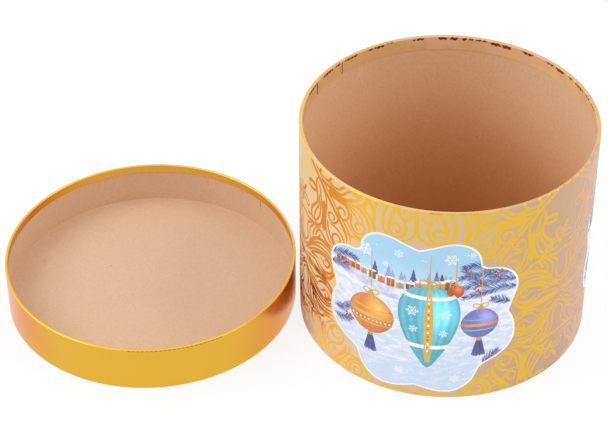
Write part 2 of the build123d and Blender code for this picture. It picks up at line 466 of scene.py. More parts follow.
def floorPaper(cup, outer, foot, thick, soft, rings=40, columns=360, hole=0.3):
    # a paper disc whose edge rises softly against the wall: circles of growing radius on its top, and back
    # underneath, with the hole in its middle closed on both sides
    turn = np.linspace(0, 2 * np.pi, columns, endpoint=False)
    bend = np.linspace(0, np.pi / 2, cup["bend"])
    flat, top = outer - soft, foot + thick
    r = np.r_[np.linspace(hole, flat, rings), flat + soft * np.sin(bend), outer, flat, hole]
    z = np.r_[np.full(rings, top), top + soft * (1 - np.cos(bend)), foot, foot, foot]
    points = turned(cup, r[:, None] + 0 * turn, z[:, None] + 0 * turn, turn)
    first, last = np.arange(columns), np.arange(columns) + (len(r) - 1) * columns
    above, below = first * 0 + len(points), first * 0 + len(points) + 1
    faces = [
        gridFaces(len(r), columns, closedAround=True),
        np.c_[np.roll(first, -1), first, above, above], np.c_[last, np.roll(last, -1), below, below],
    ]
    return np.vstack([points, [[cup["x"], 0, top], [cup["x"], 0, foot]]]), np.vstack(faces)


makePiece("tubePaper", *foldedPaper(tube), finishes["printed"], "box", "printed_paper", ["box_wrap"])
makePiece("lidFoilPaper", *foldedPaper(lid), finishes["foil"], "lid", "foil_paper", ["lid_wrap"])
tubePly, lidPly, lidDisc = lining(tube, **tubeLining), lining(lid, **lidLining), floorPaper(lid, **lidFloor)
makePiece("tubeLining", *tubePly, finishes["tubeKraft"], "box", "kraft_ply", ["box_lining"])
makePiece("lidLining", *lidPly, finishes["paleKraft"], "lid", "pale_ply", ["lid_lining"])
makePiece("lidFloorPaper", *lidDisc, finishes["paleKraft"], "lid", "pale_ply", ["lid_board_lining"])
print("papers and linings made")


# Scrollwork in pressed foil. Across is measured from the upright line midway between two pictures, and up
# is the distance along the printed face, which is the height on the wall and goes on over the rim.

scrolls = {
    "middle": 62,  # height of the level line that the scrolls mirror in
    "columns": {"left": -160, "front": -40, "back": 80},  # turns of the upright lines that they mirror in
    "thick": 0.045, "step": 0.9, "taper": 0.09, "startWidth": 0.3, "endWidth": 0.25,
    "printEnd": 143.5, "margin": 1.5,  # up to here, and this far from the paper's edge underneath
    "rim": (80.2, 83.8), "rimStep": 0.13,  # the folds, above the middle
    "rimBand": (53, 84.5, 80.2, 81.5),  # foil on the fold: from and to across, low and high above the middle
    "bandStep": 1.2, "pressed": 0.3,  # how thick the strokes are left under it
    "lean": -2.1, "leanOver": (50, 94.25),  # how far the arches stand to the side, growing between these two
    "sheet": (-100, -15, 200),  # left, foot and size of the square that the print's UV map covers
    "flower": [  # drawn once on each column, in the same way as the lines
        (1.3, [(-5.2, 106.8), (-7.4, 108.8), (-8.2, 111.4), (-6.6, 113.3), (-4.2, 112.6), (-3.3, 110.2),
            (-4.2, 107.6)]),
        (1.4, [(-4.4, 106.4), (-1.6, 107.4), (1, 108), (4, 107.6), (6.8, 105.8), (6.6, 103.4), (4, 102.8),
            (1, 104.2), (-1.8, 105.2), (-4.4, 105.7)]),
        (3.0, [(-5.2, 105.8), (-4.6, 103.8), (-3.2, 100.8)]),
        (2.4, [(-2, 108.6), (0, 112), (2.4, 116)]),
        (1.5, [(-5, 106.2), (-9, 106.9), (-12, 106), (-14.2, 103.6), (-16.4, 100.6)]),
        (1.5, [(-4.8, 105), (-8.6, 104.2), (-12.4, 102.8), (-16, 99.6)]),
    ],
    "lines": [  # width and points (across, height)
        # stem, and the leaf above it
        (2.6, [(6, 149), (12, 141.5), (18, 137.2), (24, 132.6), (29, 127.8), (34, 122.6), (39, 117.4),
            (43.5, 112), (46.6, 106.5), (46.8, 101)]),
        (1.6, [(13, 149), (17.5, 142.4), (22.4, 138.2), (27.6, 133.6), (32.2, 129), (37.2, 123.8),
            (42.2, 118.4), (46.4, 113), (49.4, 107.4), (49.6, 101.6)]),
        (2.0, [(20.4, 134.6), (18.4, 131), (17.8, 127), (19, 121), (18.8, 115.5), (15.4, 110.8),
            (11.8, 106.4), (10.9, 101), (13, 96.4)]),
        (1.5, [(21.2, 122), (20.9, 114.5), (17.8, 108.8), (15.6, 104.4), (15.4, 100), (17.5, 96)]),
        (1.5, [(22.9, 119), (22.6, 112), (21.2, 106), (18.4, 101.4), (14.6, 98)]),
        (2.7, [(19, 124.8), (15.4, 125.9), (11, 125.9), (7.4, 123.4)]),
        (2.1, [(19, 123.6), (15.5, 121.6), (11.6, 120.7), (7.8, 121.8)]),
        (1.7, [(19.4, 132), (22.2, 127), (22.7, 122), (24.4, 117), (25, 111), (24, 104.6), (21.6, 99.6),
            (16.5, 96)]),
        (1.7, [(24, 131), (27.6, 126.6), (28.9, 121), (28.5, 115), (27.7, 109), (27.9, 103.4), (29, 98.4),
            (31.4, 94.4), (35.6, 91.4)]),
        (3.4, [(26.2, 121), (26.8, 115), (26.3, 109), (25.8, 103), (26, 97.6)]),
        (1.5, [(29.6, 109.4), (30.4, 104), (32.2, 99), (34.8, 95), (38.4, 92.8), (43, 93)]),
        # small spirals
        (1.5, [(40.5, 116.8), (38.4, 112.2), (35.2, 109.9), (31.6, 111.2), (31, 114.4), (33.6, 116.5),
            (36.4, 114.9), (35.8, 112.4), (34, 112.5)]),
        (1.6, [(30, 108.4), (33, 108), (36.6, 107.9), (41, 106.2), (44.2, 102.2), (44.6, 97.4), (41.2, 94.4),
            (37, 94.8), (34.7, 98), (35.8, 101.8), (39.2, 103), (41.6, 100.6), (40.4, 97.9), (38.2, 98.5)]),
        (1.7, [(45, 131), (47.6, 127), (48.4, 122.4), (46.6, 118.6), (43, 117.5), (40.1, 119.5),
            (39.6, 122.9), (41.8, 125.3), (44.7, 124.4), (45.3, 121.8), (43.3, 121)]),
        (1.7, [(47, 119.6), (48.6, 115.6), (51.2, 112.4), (55, 110.6), (59.4, 111.4), (62.8, 115),
            (63.7, 119.8), (62.2, 125), (59.4, 129.4), (54, 132.2)]),
        (1.8, [(50.6, 126), (50.2, 121), (50.8, 116.4), (54, 113.3), (58, 113.7), (60.4, 117.4),
            (58.4, 121.2), (54.8, 121), (53.4, 117.8), (55.6, 115.9), (57.2, 117.6)]),
        (1.8, [(46.4, 109.6), (52, 108.7), (57.5, 109.4), (63, 112)]),
        # fan
        (5.4, [(31, 131.4), (37, 131.2), (42, 130.8), (48, 131)]),
        (2.2, [(22, 134.6), (29, 134.8), (35, 133.8), (41, 133), (47, 133.6), (54, 136)]),
        (1.4, [(45, 131.2), (50, 132), (55, 132.6), (59.6, 135.6)]),
        (1.4, [(45, 130.4), (49.6, 130), (54, 128.8), (57.6, 125.6), (59.2, 121.6)]),
        (1.4, [(45, 129.6), (49, 128.2), (53, 125.6), (55.6, 122)]),
        (1.4, [(44.6, 128.8), (47.8, 126.8), (50.6, 123.4)]),
        (1.7, [(20, 140.4), (27, 138), (32, 138.4), (36, 137.2), (40.5, 137.7), (43.6, 140.7), (45.8, 142.3),
            (48.4, 142.9), (53, 142.8)]),
        (1.7, [(30, 137.4), (35, 135.4), (41.4, 134.9), (44.4, 136.5), (46.4, 138.6), (48.2, 140.6),
            (50.6, 141.4), (54, 140.6), (58, 140.2)]),
        (1.7, [(33.6, 149), (33.8, 143), (32, 139.6), (28, 136.6)]),
        (2.2, [(47.6, 135.2), (51.4, 135.6), (54.6, 137.4), (57, 141), (58.4, 149)]),
        (2.0, [(55, 149), (54.2, 143), (52.6, 139.4)]),
        (2.0, [(23, 149), (23.6, 143), (21, 138.6)]),
        # arches over the picture
        (2.6, [(53.6, 134.4), (57.6, 134.6), (60.2, 137), (61, 140.4), (60.6, 144), (60, 149)]),
        (2.5, [(58.6, 136), (60, 132.6), (63.4, 129.4), (66, 125.4), (66.6, 121)]),
        (2.3, [(52.6, 132.8), (56.4, 131.8), (60, 129), (62.6, 125), (63.6, 121)]),
        (2.5, [(62.4, 149), (62.8, 142.6), (64.4, 138.6), (66.4, 134.8), (66.9, 131), (66.2, 127),
            (66.8, 122.5), (68.4, 118.4)]),
        (1.9, [(71.4, 149), (69.4, 143), (67.6, 139.4), (67.2, 135.6)]),
        (1.9, [(77, 149), (76, 143), (73.9, 137.6), (72.9, 133.4), (72.8, 129), (73.2, 125.6), (74.7, 122.7),
            (76.8, 120.8), (79.9, 120.2), (83.9, 121.2), (86.3, 123.6), (87.7, 127.4), (87.5, 131.4),
            (86.6, 134.8)]),
        (2.2, [(83, 149), (81.4, 143), (79, 136.6), (77.4, 130.6), (76.9, 127), (77.9, 123.8),
            (80.6, 121.6)]),
        (2.0, [(77.4, 128.6), (80.3, 130.3), (83.1, 130.2), (84.6, 128.1), (84.2, 125.8), (82.3, 124.8),
            (81.1, 126.3)]),
        (1.8, [(84.4, 149), (83, 143), (83.2, 138.8), (85.2, 135.6), (88, 134.6), (90.4, 136.2), (90.8, 139),
            (89.2, 141.2), (86.9, 140.9), (86, 139), (87.4, 137.8)]),
        (1.6, [(93.5, 149), (93.5, 139), (93.5, 131), (93.4, 126.4), (92.6, 123.6), (90.2, 121.3),
            (87, 119.6), (83.6, 119)]),
        # between the two stems
        (1.6, [(1, 67.8), (9, 75), (15, 79.4), (20.4, 81.9), (26, 82.8), (31, 82.1), (35, 79.4)]),
        (1.6, [(5, 69), (13, 75), (19.6, 78.8), (26, 80.4), (31.6, 79.9), (35.4, 76.6)]),
        (1.7, [(9, 69.6), (17, 75.2), (23, 77.9), (28.6, 78.4), (33, 76), (34.7, 71.8), (31.8, 68.4),
            (27, 66.9), (22.6, 68), (19, 71)]),
        (1.5, [(22, 74.8), (25, 73.6), (27.4, 71.5), (30.6, 72.4), (31.6, 75.2), (29.2, 77), (27.2, 75.6),
            (28.6, 74)]),
        (2.3, [(37.4, 73), (34.8, 68.4), (31.8, 64.7), (27.4, 63), (20, 62.9), (10, 63.2), (-1, 63)]),
        (1.5, [(31, 66.2), (26.4, 65), (20.4, 65.8), (16, 68.6), (10, 67.2), (3, 65.4)]),
        (1.4, [(20, 72.6), (15.4, 71.4), (10, 70.2)]),
        (2.5, [(7, 75), (11.6, 81), (17, 86), (22.6, 88.8), (28, 89), (35, 87.4)]),
        (1.5, [(9, 74.4), (13.8, 79.8), (18.8, 83.8), (24, 85.9), (30, 85.9), (36, 83.6)]),
        (1.6, [(26, 94.8), (28, 91.8), (31.4, 90.6), (38, 90.4)]),
        (2.1, [(27, 90), (25.6, 93.8), (20, 95.6), (13, 95.4), (6, 94.2), (-1, 95.8)]),
        (1.6, [(24, 98.8), (18, 98), (12.6, 99.4), (7, 98.4), (4.6, 100)]),
        (1.5, [(13, 96), (9.6, 92.8), (5.6, 90), (4.2, 85.6), (5, 80), (3.4, 75.6), (-1, 72)]),
        (1.5, [(15.6, 96), (12, 92), (9, 88.4), (8.2, 83.6), (8.9, 78.4), (6.2, 74), (-2, 68.4)]),
        (1.5, [(18, 95.4), (14.8, 91), (12.9, 86.6), (13.2, 82.6), (11, 77.8), (6.4, 72.4), (0, 66.4)]),
        (1.5, [(20.6, 95), (18, 91.6), (16.4, 88)]),
        (1.5, [(22.6, 92), (20.8, 90), (21, 87)]),
    ],
}


def lengths(path):  # distance along the line at each of its points
    return np.r_[0, np.cumsum(np.hypot(*np.diff(path, axis=0).T))]


def pointsAt(path, steps):  # the places on the line at these distances along it
    along = lengths(path)
    return np.c_[np.interp(steps, along, path[:, 0]), np.interp(steps, along, path[:, 1])]


def evenSteps(path, step):  # the same line with its points equally far apart
    long = lengths(path)[-1]
    return pointsAt(path, np.linspace(0, long, max(4, int(long / step) + 2)))


def smoothLine(points, step):
    # Catmull-Rom: between two points, the cubic that leaves each along the chord of its two neighbours
    p = np.array(points, float)
    p = np.vstack([2 * p[0] - p[1], p, 2 * p[-1] - p[-2]])
    a, b, c, d = p[:-3], p[1:-2], p[2:-1], p[3:]
    t = np.linspace(0, 1, 20, endpoint=False)[:, None, None]
    line = b + t * (c - a) / 2 + t**2 * (2 * a - 5 * b + 4 * c - d) / 2 + t**3 * (3 * b - a - 3 * c + d) / 2
    return evenSteps(np.vstack([line.transpose(1, 0, 2).reshape(-1, 2), p[-2]]), step)


def finerBetween(path, low, high, step):  # more points between two heights, as over a fold
    along = lengths(path)
    more = np.arange(0, along[-1], step)
    up = np.interp(more, along, path[:, 1])
    return pointsAt(path, np.union1d(along, more[(up > low) & (up < high)]))


def band(path, half, lift, across=(-1, -0.72, 0.72, 1), relief=(0, 1, 1, 0)):
    # each point of the path goes half a width to either side, square to the path, and stands lift high
    way = np.gradient(path, axis=0)
    way /= np.hypot(*way.T)[:, None]
    right = np.c_[way[:, 1], -way[:, 0]] * np.broadcast_to(half, len(path))[:, None]
    flat = path[:, None] + np.array(across)[None, :, None] * right[:, None]
    high = np.broadcast_to(np.array(relief) * lift, flat.shape[:2])
    return np.dstack([flat, high]).reshape(-1, 3), gridFaces(len(path), len(across))


def together(parts):  # one set of points and faces from several
    starts = np.r_[0, np.cumsum([len(points) for points, faces in parts])]
    allPoints = np.vstack([points for points, faces in parts])
    return allPoints, np.vstack([faces + start for (points, faces), start in zip(parts, starts)])


def printedFace(cup, steps=12):
    # the sheet's outer face in section: radius, height and the way it faces, by the distance along it
    fold, bend = cup["fold"], np.linspace(0, np.pi / 2, steps)
    foot, top, out, mouth = cup["foot"], cup["height"], cup["radius"], cup["mouth"]
    c, s = np.cos(bend), np.sin(bend)
    wall, upper = out - fold, top - fold
    r = np.r_[out - cup["turnUnder"], wall + fold * s, wall + fold * c, mouth + fold - fold * s, mouth]
    z = np.r_[foot, foot + fold - fold * c, upper + fold * s, upper + fold * c, top - cup["turnIn"]]
    outR, outZ = np.r_[0, s, c, -s, -1], np.r_[-1, -c, s, c, 0]
    along = lengths(np.c_[r, z])
    return along - along[steps] + z[steps], r, z, outR, outZ


def onPaper(cup, middleTurn, points):
    # wraps flat points (across, up, lift) round the cup, on its printed face
    along, *section = printedFace(cup)
    across, up, lift = points.T
    r, z, outR, outZ = (np.interp(up, along, column) for column in section)
    turn = math.radians(middleTurn) + across / cup["radius"]
    return turned(cup, r + lift * outR + lapRise(cup, turn, z), z + lift * outZ, turn)


def scrollLine(width, points, settings):
    # one stroke: its width grows from a share at each end to all of it, and stays whole where the print ends
    path = smoothLine(points, settings["step"]) - (0, settings["middle"])
    past = path[:, 1] + settings["middle"] > settings["printEnd"] + 1
    if past[0]:
        path = path[np.argmin(past):]
    elif past[-1]:
        path = path[:np.argmax(past)]
    path = finerBetween(path, *settings["rim"], settings["rimStep"])
    t = np.linspace(0, 1, len(path))
    swell = np.clip(t / settings["taper"], 1 if past[0] else settings["startWidth"], 1)
    swell *= np.clip((1 - t) / settings["taper"], 1 if past[-1] else settings["endWidth"], 1)
    return band(path, width / 2 * swell, settings["thick"])


def makeScrolls(cup, settings):
    strokes, faces = together([scrollLine(*line, settings) for line in settings["lines"]])
    start, end, low, high = settings["rimBand"]
    across, up = strokes[:, 0], strokes[:, 1]
    crossing = (across > start) & (across < end) & (up > low) & (up < high)
    strokes[:, 2] *= np.where(crossing, settings["pressed"], 1)
    columns = np.linspace(-1, 1, 13)
    edge = evenSteps(np.array([(start, (low + high) / 2), (end, (low + high) / 2)]), settings["bandStep"])
    rimBand = band(edge, (high - low) / 2, settings["thick"], columns, np.minimum(1, 6 - 6 * np.abs(columns)))
    half = together([(strokes, faces), rimBand])
    bloom = together([scrollLine(*line, settings) for line in settings["flower"]])
    placings = [(half, side, way) for side in (1, -1) for way in (1, -1)]
    placings += [(bloom, 1, way) for way in (1, -1)]
    near, far = settings["leanOver"]
    copies = []
    for (points, faces), side, way in placings:
        lean = settings["lean"] * ease((np.abs(points[:, 0]) - near) / (far - near))
        copy = np.c_[side * points[:, 0] + lean, way * points[:, 1] + settings["middle"], points[:, 2]]
        copies.append((copy, faces if side * way > 0 else faces[:, ::-1]))
    points, faces = together(copies)
    low, high = printedFace(cup)[0][0] + settings["margin"], settings["printEnd"]
    faces = faces[((points[:, 1] > low) & (points[:, 1] < high))[faces].any(1)]
    points[:, 1] = np.clip(points[:, 1], low, high)
    left, foot, size = settings["sheet"]
    flat = (points[:, :2] - (left, foot)) / size
    for name, turn in settings["columns"].items():
        places = onPaper(cup, turn, points)
        makePiece("scrolls-" + name, places, faces, finishes["pressedFoil"], "box", "foil_paper", flat=flat)


makeScrolls(tube, scrolls)
print("scrollwork pressed on the tube")


# Printed pictures, one between each two columns of scrolls: glass ornaments and fir over snow. Across and
# up are measured from the picture's middle, and each motif lies a layer above the one before.

picture = {
    "turns": {"front": -100, "right": 20, "back": 140},
    "middle": 63, "widen": 1.015, "border": 1.3, "edgeStep": 1.2,
    "size": 130,  # of the square that its UV map covers
    "lift": 0.05, "layer": 0.006,  # how high the print stands, and how much each layer adds
    "lobes": [  # the right half of the outline, from the top down
        [(0, 51.5), (8, 54.5), (16, 57.4), (24, 57.6), (31, 54.2), (35.2, 48.2), (36.6, 41)],
        [(36.6, 41), (40, 38.8), (46, 38), (52, 35.4), (57, 30.4), (59.4, 24), (58.8, 17), (56.2, 9),
            (54.4, 2)],
        [(54.4, 2), (57.4, -4), (59, -12), (58.6, -20), (55, -27), (49, -32), (42.5, -35.5)],
        [(42.5, -35.5), (38.2, -38.6), (36, -44), (33.4, -49.6), (29, -54), (22.6, -57.4), (15, -57.8),
            (7, -56.2), (0, -54.2)],
    ],
    "white": (250, 250, 252), "skyTop": (166, 216, 244), "skyLow": (220, 238, 251),
    "farSnow": (188, 190, 226), "snow": (246, 248, 254), "snowShade": (208, 224, 247),
    "fir": (84, 88, 146), "firLight": (152, 166, 210), "gold": (212, 170, 72), "teal": (98, 190, 212),
    "orange": (232, 140, 66), "violet": (126, 122, 196), "brown": (136, 88, 58), "rust": (196, 96, 52),
    "berry": (206, 70, 52),
    "flakes": [
        (-33, 42, 5.2, 0.2), (-12, 46, 3.2, 0.5), (19, 46, 4.6, 0.1), (-45, 8, 2.8, 0.3), (31, 49, 2.4, 0),
        (-20, 36, 2.4, 0.2), (-10, -44, 3, 0.1), (24, -47, 3.4, 0.4),
    ],
    "sprigs": [
        [(60, 20), (48, 22), (37, 20), (27, 17)], [(60, 27), (47, 28), (35, 27), (23, 24)],
        [(59, 32), (47, 34), (36, 34), (24, 32)], [(54, 37), (44, 40), (35, 41), (26, 40)],
        [(42, 24), (35, 29), (30, 34), (26, 40)], [(52, 27), (45, 32), (41, 37), (38, 43)],
        [(-60, 26), (-53, 29), (-46, 31), (-39, 31)], [(-60, 19), (-53, 21), (-46, 22)],
        [(56, 9), (50, 12), (44, 14)], [(-57, -14), (-50, -12), (-44, -7)],
        [(-57, -20), (-50, -20), (-43, -16)], [(40, -38), (44, -32), (50, -28)],
    ],
    "berries": [
        (33, 24), (36, 26.4), (34.8, 22.2), (46, 33), (48.2, 31), (30, 37), (-48, 27), (-46, 25.4),
        (-47, -14), (-45, -16), (46, -31),
    ],
    "ornaments": [  # across, top, width, height, how far it is drawn to a tip, colour, ribs
        (22, 27, 10, 10, 0, "rust", 0), (7, 25, 38, 64, 1, "teal", 7), (-29, 9, 30, 30, 0, "orange", 0),
        (37.5, 8, 23, 23, 0, "violet", 0),
    ],
    "belts": [  # across, height, half its length, how low it hangs in the middle, thickness, colour
        (-29, -0.5, 13.6, 2.4, 1.0, "gold"), (-29, -5.6, 14.8, 2.4, 2.6, "gold"),
        (-29, -11.4, 14.1, 2.4, 1.0, "gold"), (37.5, 0.6, 10.4, 1.8, 0.8, "teal"),
        (37.5, -3.4, 11.3, 1.8, 2.2, "orange"), (37.5, -7.4, 10.7, 1.8, 0.8, "teal"),
        (7, 18.4, 15.2, 2.8, 2.8, "white"), (7, -19.6, 13.6, 2.8, 2.8, "white"),
    ],
    "snowfall": {"count": 110, "across": (-50, 50), "up": (-46, 50), "size": (0.5, 1.3)},
    "trees": {
        "count": 16, "across": (-30, 26), "tall": (5, 11), "light": (0.95, 1.3),
        "up": 27, "fall": 0.002,  # foot, lower by this much times across squared
    },
    "parcels": {
        "across": (-52, 24, 5.9),  # from, to and how far apart
        "up": 21.5, "wave": 1.6, "waveLong": 9,  # they stand on a sine of this height
        "wide": (4.2, 6.4), "tall": (4, 7), "tones": ("brown", "orange", "rust", "gold"),
    },
    "needle": 5.4, "berrySize": 2.3, "glint": (-0.4, 0.5, 0.7),  # across and up from the berry, and size
    "thread": {"up": 50, "fall": 0.22, "width": 0.6},  # it starts so high, and lower away from the middle
    "tassel": 15, "tasselFrom": 15,  # its length, and the width from which a round ornament has one
    "knot": (0.8, 0.11), "bow": (2.6, 0.09),  # sizes, and how they grow with the ornament
    "beads": {"across": -29, "up": -9.2, "half": 12.4, "sag": 2.4, "round": 15.3, "count": 10, "size": 1.3},
    "stripe": {"across": 7, "top": 25, "tall": 64, "from": 0.05, "to": 0.93, "width": 5.6},
    "studs": (15, -28, -2.9), "studSize": 1.5,  # on the stripe, from the top down
    "glassFlakes": [(-3, 5, 4.2, 0), (17, 4, 4.2, 0), (-2, -9, 3, 0.3), (16, -11, 3, 0.3)],
}


def pictureEdge(settings):  # smooth lobes that meet in cusps, the same on the left as on the right
    lobes, step = settings["lobes"], settings["edgeStep"]
    right = np.vstack([smoothLine(lobe, step)[:-1] for lobe in lobes] + [lobes[-1][-1:]])
    right = right * (settings["widen"], 1)
    return np.vstack([right[:-1], (right * (-1, 1))[:0:-1]])


def shrunk(edge, by):  # the same outline, nearer to its middle by so many millimetres
    return edge * (1 - by / np.hypot(*edge.T))[:, None]


def coated(finish, tone, grain):  # the faint gloss and grain of printed paper
    rough, relief = 0.36 + grain * 0.14, finish.bump(grain, 0.012)
    return finish.cover(Base_Color=tone, Roughness=rough, Normal=relief, Specular_IOR_Level=0.45)


def groundFinish(settings):  # a washed sky over two lines of snow hills, blue in the hollows
    finish = Finish("winterGround")
    spot = finish.node("ShaderNodeUVMap", {"uv_map": "flat"})
    across, up = (finish.part(spot, axis) * settings["size"] - settings["size"] / 2 for axis in "XY")
    wash = finish.cloud(9, 5, rough=0.62)
    grain = finish.cloud(0.9, 3)
    skyTop, skyLow, farSnow, snow, shade = (
        paint(*settings[name]) for name in ("skyTop", "skyLow", "farSnow", "snow", "snowShade")
    )
    sky = finish.mix((up + wash * 26).rise(22, 58), skyLow, skyTop)
    far = 25 + (across / 11).maths("SINE", across / 11) * 3.5
    far = far + (across / 4.6).maths("SINE", across / 4.6 + 1) * 1.6
    near = 15 + (across / 17).maths("SINE", across / 17 - 1.2) * 4
    hollow = (finish.cloud(7, 6, (1, 1, 2.4), 0.66) + up * 0.002).rise(0.36, 0.62)
    nearTone = finish.mix(1 - hollow, snow, shade)
    nearTone = finish.mix((0 - up).rise(24, 60) * 0.5, nearTone, shade)
    farTone = finish.mix(wash.rise(0.35, 0.7), farSnow, snow)
    tone = finish.mix((far - up + wash * 3).rise(0.5, 2.5), sky, farTone)
    tone = finish.mix((near - up + wash * 3).rise(0.6, 3.0), tone, nearTone)
    return coated(finish, finish.mix(grain * 0.12, tone, farSnow), grain)


def inkFinish():  # printed ink: each point's own colour, broken up a little by the paper
    finish = Finish("printedInk")
    ink = finish.node("ShaderNodeAttribute", {"attribute_name": "ink"}, output="Color")
    wash, grain = finish.cloud(2.6, 4), finish.cloud(0.6, 3)
    tone = finish.mix((wash - 0.38) * 0.8, ink, (1, 1, 1, 1), "SOFT_LIGHT")
    return coated(finish, finish.mix(grain.rise(0.56, 0.8) * 0.2, tone, (0.93, 0.94, 0.98, 1)), grain)


def inked(part, colour, light=1.0):  # a band with its colour, lighter or darker point by point
    points, faces = part
    tone = np.array(paint(*colour))[None, :3] * np.broadcast_to(light, len(points))[:, None]
    return points, faces, np.c_[np.clip(tone, 0, 1), np.ones(len(points))]


def strip(path, width, layer, colour, light=1.0):
    # a printed line whose width and light may change, in faces small enough to lie on the tube's curve
    path = np.array(path, float)
    along, fine = lengths(path), evenSteps(path, 1.1)
    steps = np.linspace(0, along[-1], len(fine))
    half = np.interp(steps, along, np.broadcast_to(np.array(width) / 2, len(path)))
    light = np.interp(steps, along, np.broadcast_to(light, len(path)))
    columns = np.linspace(-1, 1, int(half.max() / 0.6) + 2)
    return inked(band(fine, half, layer, columns, 0 * columns + 1), colour, np.repeat(light, len(columns)))


def glass(across, up, wide, tall, drawnOut, layer, colour, ribs=0):
    # an ornament down its middle line: as wide as a circle at each height, and pulled to a tip by drawnOut;
    # it is light high on the left, dark at its right edge and underneath
    t, c = np.linspace(0.004, 0.996, 34), np.linspace(-1, 1, 31)
    path = np.c_[across + 0 * t, up - tall * t]
    half = wide / 2 * np.sqrt(np.sin(np.pi * t ** (1 - 0.32 * drawnOut))) * (1 - drawnOut * 0.55 * t**3)
    down, over = t[:, None], c[None]
    shine = 1.25 * np.exp(-((over + 0.38) ** 2 + (2 * down - 0.62) ** 2) / 0.22)
    edge = 0.2 * np.exp(-((over - 0.8) ** 2) / 0.02)
    light = 0.62 + 0.2 * (1 - over**2) + 0.16 * (1 - down) + shine + edge
    if ribs:
        light = light * (1 + 0.14 * np.cos(ribs * np.pi * over))
    return inked(band(path, half, layer, c, 0 * c + 1), colour, light.ravel())


def belt(across, up, half, sag, thick, layer, colour):  # a line round an ornament, lower in the middle
    t = np.linspace(-1, 1, 17)
    path = np.c_[across + half * t, up - sag * np.sqrt(np.clip(1 - t**2, 0, 1))]
    return strip(path, thick, layer, colour, 0.75 + 0.5 * (1 - t**2))


def dot(across, up, size, layer, colour, light=1.0):
    t = np.linspace(-1, 1, 7)
    return strip(np.c_[across + size / 2 * t, up + 0 * t], size * np.sqrt(1.02 - t**2), layer, colour, light)


def towards(angle):
    return np.array([math.cos(angle), math.sin(angle)])


def flake(across, up, size, layer, colour, turn=0.0):  # six arms, each with two pairs of side arms
    lines = []
    for arm in turn + np.arange(6) * np.pi / 3:
        tip = towards(arm) * size
        lines.append((np.zeros(2), tip))
        for at, long in ((0.42, 0.36), (0.7, 0.24)):
            for side in (-1, 1):
                lines.append((tip * at, tip * at + size * long * towards(arm + side * np.pi / 3)))
    width = 0.1 * size * np.array([1, 1, 0.7])
    return [strip(np.linspace(a, b, 3) + (across, up), width, layer, colour) for a, b in lines]


def sprig(points, long, layer, dark, pale, chance):  # a fir twig: needles lean forward off a stem
    stem = smoothLine(points, 0.62)
    way = np.gradient(stem, axis=0)
    headings = np.arctan2(way[:, 1], way[:, 0])
    parts = [strip(stem, 0.7, layer, dark, 0.8)]
    for k in range(1, len(stem)):
        t = k / len(stem)
        reach = long * (0.45 + 0.55 * np.sin(np.pi * min(1, t * 0.9 + 0.12))) * chance.uniform(0.8, 1.1)
        for side in (-1, 1):
            tip = stem[k] + reach * towards(headings[k] + side * chance.uniform(0.5, 0.85))
            inLight = chance.random() < 0.42
            colour, light = (pale, chance.uniform(0.8, 1.25)) if inLight else (dark, chance.uniform(0.7, 1.2))
            parts.append(strip(np.linspace(stem[k], tip, 3), [0.5, 0.5, 0.22], layer, colour, light))
    return parts


def parcel(across, foot, wide, tall, layer, colour, ribbon, snow):  # a wrapped present with snow on it
    up = np.array([[across, foot], [across, foot + tall / 2], [across, foot + tall]])
    drift = np.linspace(-1, 1, 9)
    cap = np.c_[across + drift * wide * 0.56, foot + tall + wide * 0.05 + 0 * drift]
    return [
        strip(up, wide, layer, colour, [0.72, 0.95, 1.1]),
        strip(up, wide * 0.16, layer + 1, ribbon),
        strip(cap, wide * (0.12 + 0.2 * np.sqrt(1.01 - drift**2)), layer + 1, snow),
    ]


def bow(across, up, size, layer, colour):  # two loops and two tails
    t = np.linspace(0, 2 * np.pi, 19)
    parts = []
    for side in (-1, 1):
        out = 1 - np.cos(t)
        loop = np.c_[across + side * size * 0.5 * out, up + size * 0.34 * np.sin(t) + size * 0.12 * out]
        parts.append(strip(loop, size * 0.16, layer, colour, 0.8 + 0.3 * np.sin(t / 2)))
        tail = [(0, 0), (side * size * 0.34, -size * 0.5), (side * size * 0.5, -size)]
        tail = smoothLine(np.array(tail) + (across, up), 0.5)
        parts.append(strip(tail, size * 0.14, layer, colour, 0.85))
    return parts + [dot(across, up, size * 0.3, layer + 1, colour, 1.1)]


def firTree(across, foot, tall, layer, colour, light):  # four skirts, each narrower than the one below
    t = np.linspace(0, 1, 17)
    width = tall * 0.5 * (1.04 - t) * (1.15 - 0.6 * (t * 4 % 1))
    return strip(np.c_[across + 0 * t, foot + tall * t], width, layer, colour, light)


def tassel(across, top, long, layer, colour, cord, chance):  # threads that hang and spread from a knot
    parts = []
    for lean in np.linspace(-0.24, 0.24, 9):
        foot = (across + lean * long * 1.1, top - long * (1 - 0.5 * lean**2) + chance.uniform(-0.5, 0.5))
        thread = [(across + lean * 3, top), (across + lean * long * 0.7, top - long * 0.5), foot]
        parts.append(strip(thread, 0.85, layer, colour, chance.uniform(0.65, 1.2)))
    tie = [(across - 1.7, top - 2.6), (across + 1.7, top - 2.6)]
    return parts + [dot(across, top - 0.6, 3.2, layer + 1, cord), strip(tie, 0.9, layer + 1, cord, 0.85)]


